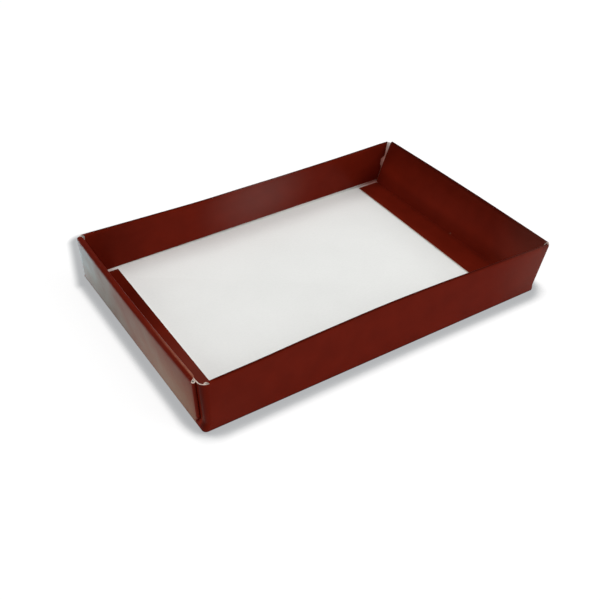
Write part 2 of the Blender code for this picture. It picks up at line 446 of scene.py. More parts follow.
@dataclass(frozen=True)
class Flap:
    """What a wall carries on with over its outer layer: rolled rim, inner panel and any flange."""

    wall: Wall
    outer: Pair  # where the outer layer's top starts and ends along the wall
    corners: tuple[Corner, Corner]  # the corners at those ends

    def rim(self, inner: Pair) -> list[FlapRow]:
        """Lays out the rolled rim.

        Args:
            inner: where the inner panel's top starts and ends.

        Returns:
            The rows, from the outer layer to the inner panel.
        """
        kind = self.wall.kind
        rows = []
        for i in range(1, STEPS.fold + 1):
            share = i / STEPS.fold
            angle = math.pi * share
            ends = tuple(mix(*pair, share**kind.narrowing) for pair in zip(self.outer, inner))
            inset = self.wall.pitch / 2 * (1 - math.cos(angle))
            z = kind.top + kind.roll * math.sin(angle)
            ridge = kind.ridge * max(0.0, 1.0 - ((angle - SIZE.ridge_angle) / SIZE.ridge_spread) ** 2)
            rows.append(FlapRow(ends, (inset, inset), z, math.sin(angle), ridge))
        return rows

    def long_rows(self) -> list[FlapRow]:
        """Lays out a long wall's rolled rim and inner panel.

        Returns:
            The rows, from the rim to the foot.
        """
        rows = self.rim(tuple(corner.long_edge(LONG.top, SIZE.rim_gap) for corner in self.corners))
        step, step_top = SIZE.step_height, SIZE.step_height + SIZE.step_rise
        gaps = [(share * step, gap) for share, gap in SIZE.low_gaps]
        gaps += [(step_top, SIZE.step_gap), (LONG.top, SIZE.rim_gap)]
        bounds = (LONG.top, step_top, step, BOARD.thickness + SIZE.foot_clearance)
        for high, low, count in zip(bounds, bounds[1:], STEPS.panel):
            for i in range(1, count + 1):
                z = mix(high, low, i / count)
                ends = tuple(corner.long_edge(z, level_at(gaps, z)) for corner in self.corners)
                rows.append(FlapRow(ends, (long_pitch(z), long_pitch(z)), z))
        return rows

    def end_rows(self) -> list[FlapRow]:
        """Lays out an end wall's rolled rim, inner panel and floor flange.

        Returns:
            The rows, from the rim to the flange's edge.
        """
        gap, low = SIZE.panel_end_gap, SIZE.flange_middle + BOARD.fold
        pitch = self.wall.pitch
        rows = self.rim(tuple(corner.end_edge(END.top, gap) for corner in self.corners))
        for i in range(1, STEPS.wall + 1):
            z = mix(END.top, low, i / STEPS.wall)
            ends = tuple(corner.end_edge(z, gap) for corner in self.corners)
            rows.append(FlapRow(ends, (pitch, pitch), z))
        ends = tuple(corner.end_edge(low, corner.end_gap) for corner in self.corners)
        for i in range(1, STEPS.floor_fold + 1):
            angle = math.pi / 2 * i / STEPS.floor_fold
            inset = pitch + BOARD.fold * (1 - math.cos(angle))
            z = low - BOARD.fold * math.sin(angle)
            rows.append(FlapRow(ends, (inset, inset), z, SIZE.flange_crease))
        start, face = pitch + BOARD.fold, pitch + BOARD.thickness / 2
        for i in range(1, STEPS.flange + 1):
            insets = tuple(mix(start, face + corner.flange, i / STEPS.flange) for corner in self.corners)
            rows.append(FlapRow(ends, insets, SIZE.flange_middle))
        return rows

    def points(self, row: FlapRow) -> list[Vector]:
        """Places a row on the wall.

        Args:
            row: which row.

        Returns:
            Its points, along the wall.
        """
        points, steps = [], self.wall.kind.steps
        for i in range(steps + 1):
            along = mix(*row.ends, i / steps)
            point = self.wall.point(along, row.z, mix(*row.insets, i / steps))
            point.z = self.wall.raised(along, row.z)
            points.append(point)
        return points


@dataclass
class FoldedSheet:
    """The middle surface of the folded sheet, laid out in rows of points."""

    walls: dict[Side, Wall] = field(init=False)  # the four sides, in the order of a walk round the tray
    # the four corners in the same order; each wall runs from the corner of its own number
    corners: list[Corner] = field(init=False)
    mesh: bmesh.types.BMesh = field(init=False)  # the mesh under construction

    def __post_init__(self) -> None:
        """Places the walls and the corners."""
        front = Wall(
            LONG, sign=-1, half=SIZE.half_width + 0.55 * MM, lean=1.74, bow=-2.4 * MM,
            wave=0.05 * MM, phase=0.4, skew=-0.55 * MM, twist=0.73 * MM,
            hollows=(mm(-68, 22, 0.42), mm(12, 34, -0.74)),
        )
        right = Wall(
            END, sign=1, half=SIZE.half_length, lean=12.7, bow=0.8 * MM,
            wave=0.04 * MM, phase=0.9, pitch=2.1 * MM,
        )
        back = Wall(
            LONG, sign=1, half=SIZE.half_width, lean=-7.1, bow=-2.1 * MM,
            wave=0.05 * MM, phase=1.9, lift=2.1 * MM, hollows=(mm(-30, 24, -0.45),),
        )
        left = Wall(
            END, sign=-1, half=SIZE.half_length, lean=3.6, bow=1 * MM,
            wave=0.04 * MM, phase=2.6, pitch=2.6 * MM,
        )
        self.walls = dict(zip(Side, (front, right, back, left)))
        self.corners = [
            Corner(
                front, left, wrap_radius=4 * MM, rim_gap=9.5 * MM, flange=14.5 * MM,
                nose_run=1.4 * MM, nose_pitch=1.4 * MM,
            ),
            Corner(front, right, wrap_radius=1 * MM, rim_gap=1.2 * MM, flange=17.3 * MM),
            Corner(back, right, wrap_radius=1.6 * MM, rim_gap=1 * MM, flange=14.1 * MM, side_gap=0.9 * MM),
            Corner(
                back, left, wrap_radius=0.8 * MM, rim_gap=2.4 * MM, flange=14.8 * MM,
                end_gap=2.7 * MM, side_gap=0.3 * MM,
            ),
        ]
        self.mesh = bmesh.new()
        self.crease = self.mesh.verts.layers.float.new("crease")
        self.ridge = self.mesh.verts.layers.float.new("ridge")

    def ring(self, row: Row) -> list[Vector]:
        """One closed line round the tray.

        Args:
            row: which row.

        Returns:
            Its points, from the front wall's left end to the right.
        """
        turns = [corner.points(row) for corner in self.corners]
        turns = [points if i % 2 else points[::-1] for i, points in enumerate(turns)]
        line = turns[0][-1:]
        for i, wall in enumerate(self.walls.values()):
            start, turn = turns[i][-1], turns[(i + 1) % len(turns)]
            axis, steps = wall.kind.axis, wall.kind.steps
            z = row.z_end if axis else row.z_long
            for j in range(1, steps):
                line.append(wall.point(mix(start[axis], turn[0][axis], j / steps), z, row.inset))
            line += turn
        return line[:-1]

    def outer_rows(self) -> list[Row]:
        """Lays out the floor's edge, the outer walls and the webs.

        Returns:
            The rows, from the floor up.
        """
        rows = []
        for i in range(STEPS.floor_fold + 1):
            angle = math.pi / 2 * i / STEPS.floor_fold
            z = BOARD.thickness / 2 + BOARD.fold * (1 - math.cos(angle))
            rows.append(Row(z, z, BOARD.fold * (1 - math.sin(angle)), 0.0, SIZE.web_min, 1.0))
        for i in range(STEPS.forming + 1):
            share = i / STEPS.forming
            z = mix(SIZE.web_start, SIZE.web_formed, share)
            rows.append(Row(z, z, 0.0, math.pi * share, SIZE.web_min))
        for i in range(1, STEPS.wall + 1):
            z_long, z_end = (mix(SIZE.web_formed, kind.top, i / STEPS.wall) for kind in (LONG, END))
            web = SIZE.web_min + mix(z_long, z_end, 0.5) - SIZE.web_formed
            rows.append(Row(z_long, z_end, 0.0, math.pi, web))
        return rows

    def add_row(self, points: list[Vector], creased: float, ridge: float = 0.0) -> list[bmesh.types.BMVert]:
        """Adds a row of points.

        Args:
            points: where they are.
            creased: how sharply the board is creased there.
            ridge: how near they are to the rim's ridge.

        Returns:
            The mesh's points.
        """
        row = []
        for point in points:
            vert = self.mesh.verts.new(point)
            vert[self.crease] = creased
            vert[self.ridge] = ridge
            row.append(vert)
        return row

    def bridge(self, lower: list, upper: list, closed: bool) -> None:
        """Adds quads between two rows that hold as many points each.

        Args:
            lower: one row.
            upper: the other.
            closed: whether they run all round the tray.
        """
        count = len(lower)
        for i in range(count if closed else count - 1):
            j = (i + 1) % count
            self.mesh.faces.new((lower[i], lower[j], upper[j], upper[i]))

    def lay_out(self) -> bmesh.types.BMesh:
        """Builds the whole sheet.

        Returns:
            The mesh, its faces turned so that the coated side is outside.
        """
        rings = [self.add_row(self.ring(row), row.creased) for row in self.outer_rows()]
        self.mesh.faces.new(rings[0])
        for lower, upper in zip(rings, rings[1:]):
            self.bridge(lower, upper, closed=True)

        begin, per_corner = 0, STEPS.wrap + 2 * STEPS.web + 2 * STEPS.fold
        for i, (side, wall) in enumerate(self.walls.items()):
            corners = self.corners[i], self.corners[(i + 1) % len(self.corners)]
            edge = rings[-1][begin : begin + wall.kind.steps + 1]
            begin += wall.kind.steps + per_corner
            outer = edge[0].co[wall.kind.axis], edge[-1].co[wall.kind.axis]
            flap = Flap(wall, outer, corners)
            rows = flap.end_rows() if wall.kind.axis else flap.long_rows()
            for row in rows:
                upper = self.add_row(flap.points(row), row.creased, row.ridge)
                self.bridge(edge, upper, closed=False)
                edge = upper
            log.info("%s wall: %d rows over its rim", side.value, len(rows))
        bmesh.ops.recalc_face_normals(self.mesh, faces=self.mesh.faces)
        self.mesh.faces.ensure_lookup_table()
        if self.mesh.faces[0].normal.z > 0:
            bmesh.ops.reverse_faces(self.mesh, faces=self.mesh.faces)
        return self.mesh

    def mark_cut_edges(self, reach: float) -> None:
        """Gives each point a value that fades from 1 at a cut edge to 0 at a reach along the sheet.

        Args:
            reach: how far the value runs in.
        """
        cut = self.mesh.verts.layers.float.new("cut")
        self.mesh.verts.ensure_lookup_table()
        self.mesh.verts.index_update()
        nearest = {vert.index: 0.0 for vert in self.mesh.verts if vert.is_boundary}
        queue = [(0.0, index) for index in nearest]
        heapq.heapify(queue)
        while queue:
            gone, index = heapq.heappop(queue)
            if gone > nearest[index]:
                continue
            vert = self.mesh.verts[index]
            vert[cut] = 1.0 - gone / reach
            for edge in vert.link_edges:
                other = edge.other_vert(vert).index
                there = gone + edge.calc_length()
                if there < reach and there < nearest.get(other, reach):
                    nearest[other] = there
                    heapq.heappush(queue, (there, other))


# ---- material nodes


class NodeMaker:
    """Short calls for building a node tree."""

    def __init__(self, tree: bpy.types.NodeTree) -> None:
        """Keeps the tree that nodes are added to."""
        self.tree = tree

    def give(self, socket: Socket, value: Value) -> None:
        """Links an input or sets its value.

        Args:
            socket: the input.
            value: an output socket or a value. A colour may come without its alpha.
        """
        if isinstance(value, Socket):
            self.tree.links.new(value, socket)
        else:
            socket.default_value = (*value[:3], 1.0) if socket.type == "RGBA" else value

    def feed(self, node: bpy.types.Node, inputs: dict) -> None:
        """Gives several inputs of a node, by name or number."""
        for name, value in inputs.items():
            self.give(node.inputs[name], value)

    def add(self, kind: str, inputs: dict | None = None, **settings: str | int) -> bpy.types.Node:
        """Adds a node.

        Args:
            kind: the node's type.
            inputs: values or output sockets for its inputs, by name or number.
            settings: its own properties.

        Returns:
            The node.
        """
        node = self.tree.nodes.new(kind)
        for name, value in settings.items():
            setattr(node, name, value)
        self.feed(node, inputs or {})
        return node

    def place(self) -> Socket:
        """Gives the point's own coordinates."""
        return self.add("ShaderNodeTexCoord").outputs["Object"]

    def axes(self, place: Socket) -> bpy.types.NodeOutputs:
        """Splits a point into X, Y and Z."""
        return self.add("ShaderNodeSeparateXYZ", {"Vector": place}).outputs

    def carried(self, name: str) -> Socket:
        """Gives a value that the mesh carries at its points."""
        return self.add("ShaderNodeAttribute", attribute_name=name).outputs["Fac"]

    def noise(self, place: Socket, scale: float, detail: float = 2.0) -> Socket:
        """Adds noise and gives its value."""
        inputs = {"Vector": place, "Scale": scale, "Detail": detail}
        return self.add("ShaderNodeTexNoise", inputs).outputs["Fac"]

    def math(self, operation: str, *values: Value) -> Socket:
        """Adds a sum and gives its value."""
        return self.add("ShaderNodeMath", dict(enumerate(values)), operation=operation).outputs[0]

    def times(self, *values: Value) -> Socket:
        """Multiplies two or more values."""
        return reduce(lambda first, second: self.math("MULTIPLY", first, second), values)

    def vector(self, operation: str, *values: Value, output: str = "Vector") -> Socket:
        """Adds a sum on vectors and gives its result."""
        node = self.add("ShaderNodeVectorMath", dict(enumerate(values)), operation=operation)
        return node.outputs[output]

    def far(self, place: Socket, middle: Triple) -> Socket:
        """Gives how far a point is from a place."""
        return self.vector("DISTANCE", place, middle, output="Value")

    def toned(self, colour: Socket, by: Socket) -> Socket:
        """Makes a colour lighter or darker."""
        node = self.add("ShaderNodeVectorMath", {0: colour, "Scale": by}, operation="SCALE")
        return node.outputs["Vector"]

    def ranged(
        self, value: Socket, low: float, high: float, to_low: Value = 0.0, to_high: Value = 1.0,
        soft: bool = False,
    ) -> Socket:
        """Maps a value from one range to another, held at its ends.

        Args:
            value: the value.
            low: start of the first range.
            high: its end.
            to_low: start of the second range.
            to_high: its end.
            soft: whether the change starts and ends gently.

        Returns:
            The mapped value.
        """
        inputs = {"Value": value, "From Min": low, "From Max": high, "To Min": to_low, "To Max": to_high}
        kind = "SMOOTHSTEP" if soft else "LINEAR"
        return self.add("ShaderNodeMapRange", inputs, interpolation_type=kind).outputs["Result"]

    def colour(self, share: Value, first: Value, second: Value) -> Socket:
        """Mixes two colours.

        Args:
            share: how much of the second.
            first: one colour.
            second: the other.

        Returns:
            The mix.
        """
        node = self.add("ShaderNodeMix", {"Factor": share}, data_type="RGBA")
        for socket, value in zip((s for s in node.inputs if s.type == "RGBA"), (first, second)):
            self.give(socket, value)
        return next(s for s in node.outputs if s.type == "RGBA")

    def bump(self, height: Socket, distance: float) -> Socket:
        """Adds relief and gives its normal."""
        inputs = {"Height": height, "Distance": distance, "Strength": 1.0}
        return self.add("ShaderNodeBump", inputs).outputs["Normal"]


def new_material(name: str) -> tuple[bpy.types.Material, NodeMaker, bpy.types.Node]:
    """Starts a material.

    Args:
        name: of the material.

    Returns:
        The material, a maker for its nodes, and its Principled node.
    """
    material = bpy.data.materials.new(name)
    material.use_nodes = True
    return material, NodeMaker(material.node_tree), material.node_tree.nodes["Principled BSDF"]


@dataclass(frozen=True)
class Spot:
    """A round place on the board where its coat shines more, and where painted sheen, painted light and
    painted shade lie.
    """

    middle: Triple
    radius: float  # where it has faded out
    gloss: float = 0.0  # how much thicker the coat lies
    wear_and_sheen: float = 0.0  # how much of the paler rubbed colour it takes, as a painted sheen
    tone: float = 0.0  # by what share its colour is lighter, as painted light; below 0 it is darker, as painted shade
    tall: bool = False  # whether it runs the whole height of a wall


@dataclass(frozen=True)
class CoatedBoard:
    """The carton's brown side, with a smooth coat over paper, and with painted shade, light and sheen in
    places.
    """

    base: Triple = (0.110, 0.0080, 0.0031)  # the coat's own colour
    lighter: float = 1.16  # how much lighter its paler patches are
    worn_and_sheen: Triple = (0.30, 0.12, 0.075)  # where a fold or an edge has rubbed it, and the colour of the painted sheen and the painted ridge highlight
    folded: Triple = (0.036, 0.0024, 0.0010)  # its colour on the crest of a fold, as painted shade: along the rims, round the floor and at the flanges' folds
    tint: Triple = (0.9, 0.25, 0.18)  # colour of what the coat reflects straight back
    roughness: float = 0.32
    worn_roughness: float = 0.4  # what full wear adds to that
    gloss_roughness: float = 0.30  # of the thicker coat
    ior: float = 1.1
    mottle: float = 90.0  # patches per metre of its uneven tone
    grain: float = 2600.0  # of the paper under it
    rub: float = 900.0  # of the wear
    depths: Triple = (0.004, 0.10, 0.25)  # relief of the grain, the patches and the dent, in millimetres
    patches: Range = (0.35, 0.65, 0.0, 1.0)  # the patches' tone by their noise
    patch_roughness: Range = (0.3, 0.7, -0.03, 0.03)  # the change in roughness by the same
    # how far a fold takes that painted crest shade, by X, at the left rim
    left_fold: Range = (*mm(-97, -92), 0.0, 0.85)
    long_fold: Range = (*mm(-6, 10), 0.18, 0.24)  # the same by Y, on the other rims
    fold_wear: Range = (0.62, 0.85, 0.0, 0.25)  # wear of a fold, by the rub
    edge_wear: Range = (0.4, 0.7, 0.0, 0.25)  # of a cut edge, by the rub
    edge_fade: Range = (0.72, 1.0, 0.0, 1.0)  # how that wear dies out from the cut edge
    ridge_highlight: Range = (0.3, 0.6, 0.6, 1.0)  # painted highlight along the left rim's inner ridge, with some rubbed paper, by the rub
    ridge_fade: Range = (*mm(-66, -15), 1.0, 0.0)  # how that dies out, by Y
    high_tone: Range = (*mm(3, 26), 0.40, -0.22)  # painted light low on the right wall and painted shade near its rim: how much lighter it is, by height
    high_from: Range = (*mm(95.6, 96.6), 0.0, 1.0)  # where that wall begins, by X
    dent: Triple = mm(94.4, -4, 1.4)  # middle of the small pressed mark beside a flange's fold
    dent_span: Range = (*mm(0.25, 0.9), 1.0, 0.0)  # how deep it is, by the distance from there
    dent_wear: float = 0.35  # how far it is rubbed
    # places where the coat shines more, with painted sheen, painted light and painted shade
    spots: tuple[Spot, ...] = (
        # a thicker coat with painted sheen: the back panel's middle, the left flange's front, the front
        # wall's right end
        Spot(mm(6, 64, 16), 44 * MM, gloss=0.42, wear_and_sheen=0.06),
        Spot(mm(-86, -34, 0), 44 * MM, gloss=0.20, wear_and_sheen=0.08),
        Spot(mm(104, -70, 16), 44 * MM, gloss=0.12, wear_and_sheen=0.09),
        # painted shade on the left flange's back half
        Spot(mm(-87, 36, 0), 46 * MM, tone=-0.50),
        # painted light, strongest on the back panel, and low in the back-right corner
        Spot(mm(-25, 64, 16), 128 * MM, tone=0.17),
        Spot(mm(98, 64, 3), 26 * MM, tone=0.45),
        # painted shade on the wrap beside the front-left corner's fold, and painted light in the crevice at
        # that fold
        Spot(mm(-99.1, -67.2, 0), 2.7 * MM, tone=-0.44, tall=True),
        Spot(mm(-99.5, -64.7, 0), 1.5 * MM, tone=0.55, tall=True),
    )

    def make(self) -> bpy.types.Material:
        """Builds the material.

        Returns:
            The material.
        """
        material, nodes, shader = new_material("coated_brown_board")
        place = nodes.place()
        axes = nodes.axes(place)
        mottle = nodes.noise(place, self.mottle, detail=3.0)
        rub = nodes.noise(place, self.rub, detail=3.0)
        crease = nodes.carried("crease")
        lighter = tuple(channel * self.lighter for channel in self.base)
        coat = nodes.colour(nodes.ranged(mottle, *self.patches), self.base, lighter)
        # painted shade darkens the crests of the folds
        left, back = nodes.ranged(axes["X"], *self.left_fold), nodes.ranged(axes["Y"], *self.long_fold)
        coat = nodes.colour(nodes.times(crease, nodes.math("MAXIMUM", left, back)), coat, self.folded)

        at_fold = nodes.times(crease, nodes.ranged(rub, *self.fold_wear))
        edge = nodes.ranged(nodes.carried("cut"), *self.edge_fade)
        at_edge = nodes.times(edge, nodes.ranged(rub, *self.edge_wear))
        # a painted highlight along the left rim's inner ridge, with some rubbed paper, fading towards the
        # back
        ridge = nodes.times(
            nodes.carried("ridge"),
            nodes.math("LESS_THAN", axes["X"], 0.0),
            nodes.ranged(axes["Y"], *self.ridge_fade),
            nodes.ranged(rub, *self.ridge_highlight),
        )
        wear_and_sheen = nodes.math("MAXIMUM", nodes.math("MAXIMUM", at_fold, at_edge), ridge)
        shine, shade = 0.0, 1.0
        # each spot adds gloss, painted sheen, and painted light and shade
        for spot in self.spots:
            seen = nodes.vector("MULTIPLY", place, (1.0, 1.0, 0.0)) if spot.tall else place
            near = nodes.ranged(nodes.far(seen, spot.middle), 0.0, spot.radius, 1.0, 0.0, soft=True)
            shine = nodes.math("MAXIMUM", shine, nodes.times(near, spot.gloss))
            wear_and_sheen = nodes.math("MAXIMUM", wear_and_sheen, nodes.times(near, spot.wear_and_sheen))
            shade = nodes.math("MULTIPLY_ADD", near, spot.tone, shade)
        # painted light low on the right wall and painted shade near its rim
        leant, above = nodes.ranged(axes["X"], *self.high_from), nodes.ranged(axes["Z"], *self.high_tone)
        shade = nodes.times(shade, nodes.math("MULTIPLY_ADD", leant, above, 1.0))

        dent = nodes.ranged(nodes.far(place, self.dent), *self.dent_span)
        wear_and_sheen = nodes.math("MAXIMUM", wear_and_sheen, nodes.times(dent, self.dent_wear))
        rough = nodes.math("ADD", nodes.ranged(mottle, *self.patch_roughness), self.roughness)
        grain_deep, mottle_deep, dent_deep = self.depths
        grain = nodes.times(nodes.noise(place, self.grain), grain_deep)
        relief = nodes.math("ADD", grain, nodes.times(mottle, mottle_deep))
        relief = nodes.math("SUBTRACT", relief, nodes.times(dent, dent_deep))
        nodes.feed(shader, {
            "Base Color": nodes.colour(wear_and_sheen, nodes.toned(coat, shade), self.worn_and_sheen),
            "Roughness": nodes.math("ADD", rough, nodes.times(wear_and_sheen, self.worn_roughness)),
            "Normal": nodes.bump(relief, MM),
            "Coat Weight": shine,
            "Coat Roughness": self.gloss_roughness,
            "IOR": self.ior,
            "Specular Tint": self.tint,
        })
        return material


@dataclass(frozen=True)
class WhiteBoard:
    """The carton's uncoated side, with painted light and tinted painted shade in places."""

    base: Triple = (0.82, 0.83, 0.81)  # the paper's colour
    shade: Triple = (0.78, 0.79, 0.77)  # its slightly darker fibres
    roughness: float = 0.65
    ior: float = 1.45
    fibres: float = 1800.0  # per metre, across their run
    run: Triple = (0.35, 1.0, 1.0)  # how they are drawn out along the tray
    clouds: float = 40.0  # per metre
    fibre_share: Range = (0.4, 0.7, 0.0, 0.6)  # how far the fibres take the darker colour, by their noise
    cloud_share: Range = (0.35, 0.65, 0.0, 0.4)  # the same for the clouds
    depth: float = 0.02 * MM  # of the fibres' relief
    # middle of the floor's painted light: a little darker there and lighter towards the walls
    painted_light_middle: Triple = mm(8, 16, 0)
    painted_light_tone: Range = (*mm(22, 92), 0.968, 1.044)  # its painted brightness by the distance from there
    # painted shade, reddened as by light off the brown coat, where the white shows in the narrow gaps at the
    # back corners: middle, radius and colour
    painted_shade_tints: tuple[tuple[Triple, float, Triple], ...] = (
        (mm(97, 63, 16), 13 * MM, (0.95, 0.48, 0.40)),
        (mm(97, 65, 2), 18 * MM, (0.70, 0.34, 0.29)),
        (mm(-97, 63, 1.5), 16 * MM, (0.41, 0.19, 0.146)),
    )
    shade_tint_core: float = 0.4  # share of its radius within which a tint is full

    def make(self) -> bpy.types.Material:
        """Builds the material.

        Returns:
            The material.
        """
        material, nodes, shader = new_material("white_uncoated_board")
        place = nodes.place()
        along = nodes.add("ShaderNodeMapping", {"Vector": place, "Scale": self.run}).outputs["Vector"]
        fibre = nodes.noise(along, self.fibres, detail=4.0)
        cloud = nodes.ranged(nodes.noise(place, self.clouds, detail=3.0), *self.cloud_share)
        share = nodes.math("ADD", nodes.ranged(fibre, *self.fibre_share), cloud)
        paper = nodes.colour(share, self.base, self.shade)
        # painted light: the floor is darker in its middle and lighter towards the walls, where their shade
        # falls
        paper = nodes.toned(paper, nodes.ranged(nodes.far(place, self.painted_light_middle), *self.painted_light_tone))
        # painted shade, tinted by light off the brown coat, in the narrow gaps at the back corners
        for middle, radius, shade_tint in self.painted_shade_tints:
            near = nodes.ranged(nodes.far(place, middle), self.shade_tint_core * radius, radius, 1.0, 0.0)
            paper = nodes.colour(near, paper, shade_tint)
        normal = nodes.bump(fibre, self.depth)
        nodes.feed(shader, {
            "Base Color": paper, "Normal": normal, "Roughness": self.roughness, "IOR": self.ior,
        })
        return material


@dataclass(frozen=True)
class CutEdge:
    """The board where a die has cut it, with its layers of fibre."""

    base: Triple = (0.66, 0.56, 0.49)  # the fibre's colour
    shade: Triple = (0.42, 0.27, 0.21)  # between the layers
    roughness: float = 0.85
    layers: float = 2200.0  # per metre
    nicks: float = 420.0  # per metre
    layer_share: Range = (0.42, 0.68, 0.0, 1.0)  # how far the layers take the darker colour, by their noise
    nick_share: Range = (0.3, 0.7, 0.3, 1.0)  # how far the nicks let them
    depth: float = 0.08 * MM  # of the layers' relief

    def make(self) -> bpy.types.Material:
        """Builds the material.

        Returns:
            The material.
        """
        material, nodes, shader = new_material("cut_board_edge")
        place = nodes.place()
        layers = nodes.noise(place, self.layers, detail=4.0)
        nicks = nodes.ranged(nodes.noise(place, self.nicks), *self.nick_share)
        share = nodes.times(nodes.ranged(layers, *self.layer_share), nicks)
        paper, normal = nodes.colour(share, self.base, self.shade), nodes.bump(layers, self.depth)
        nodes.feed(shader, {"Base Color": paper, "Normal": normal, "Roughness": self.roughness})
        return material


# ---- pieces


@dataclass(frozen=True)
class Tray:
    """The folded tray with its board's thickness and three finishes."""

    edge_reach: float = 1.2 * MM  # how far in from a cut edge the coat can be rubbed
    # from the middle of the solid's box to the middle of the floor
    off_middle: Triple = mm(-1.93, 0.80, 0)
    sharp: float = math.radians(38)  # the least angle that shows as a crisp edge

    def make(self) -> tuple[bpy.types.Object, bpy.types.Object]:
        """Builds the tray in the place of its solid.

        Returns:
            The tray, and a line mesh that follows its cut edges.
        """
        sheet = FoldedSheet()
        mesh = sheet.lay_out()
        sheet.mark_cut_edges(self.edge_reach)
        self.place(mesh)
        edges = self.cut_lines(mesh)
        data = bpy.data.meshes.new("tray_sheet")
        mesh.to_mesh(data)
        mesh.free()
        for finish in (CoatedBoard(), WhiteBoard(), CutEdge()):
            data.materials.append(finish.make())
        rough = bpy.data.objects.new("tray_sheet", data)
        board = rough.modifiers.new("board", "SOLIDIFY")
        board.thickness = BOARD.thickness
        board.offset = 0.0
        board.use_even_offset = True
        board.use_quality_normals = True
        board.material_offset = Face.WHITE
        board.material_offset_rim = Face.CUT
        tray = keep_result(rough, "folded_tray")
        tray.data.shade_smooth()
        tray.data.set_sharp_from_angle(angle=self.sharp)
        return tray, edges

    def place(self, mesh: bmesh.types.BMesh) -> None:
        """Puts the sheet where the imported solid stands.

        Args:
            mesh: the sheet.
        """
        low, high = (Vector(corner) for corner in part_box(NODE))
        shift = (low + high) / 2 + Vector(self.off_middle)
        shift.z = low.z + BOARD.thickness / 2 - min(vert.co.z for vert in mesh.verts)
        bmesh.ops.translate(mesh, verts=mesh.verts, vec=shift)

    def cut_lines(self, mesh: bmesh.types.BMesh) -> bpy.types.Object:
        """Copies the sheet's free edges to a mesh of lines.

        Args:
            mesh: the sheet.

        Returns:
            The lines.
        """
        verts = [vert for vert in mesh.verts if vert.is_boundary]
        numbers = {vert: number for number, vert in enumerate(verts)}
        pairs = [[numbers[vert] for vert in edge.verts] for edge in mesh.edges if edge.is_boundary]
        data = bpy.data.meshes.new("cut_lines")
        data.from_pydata([vert.co for vert in verts], pairs, [])
        return bpy.data.objects.new("cut_lines", data)


def keep_result(source: bpy.types.Object, name: str) -> bpy.types.Object:
    """Turns an object with modifiers into a plain mesh at the origin.

    Args:
        source: the object, which is then removed.
        name: for the new object.

    Returns:
        The new object.
    """
    shown = bpy.context.scene.collection.objects
    shown.link(source)
    evaluated = source.evaluated_get(bpy.context.evaluated_depsgraph_get())
    data = bpy.data.meshes.new_from_object(evaluated)
    data.name = name
    bpy.data.objects.remove(source, do_unlink=True)
    result = bpy.data.objects.new(name, data)
    shown.link(result)
    log.info("%s: %d faces", name, len(data.polygons))
    return result


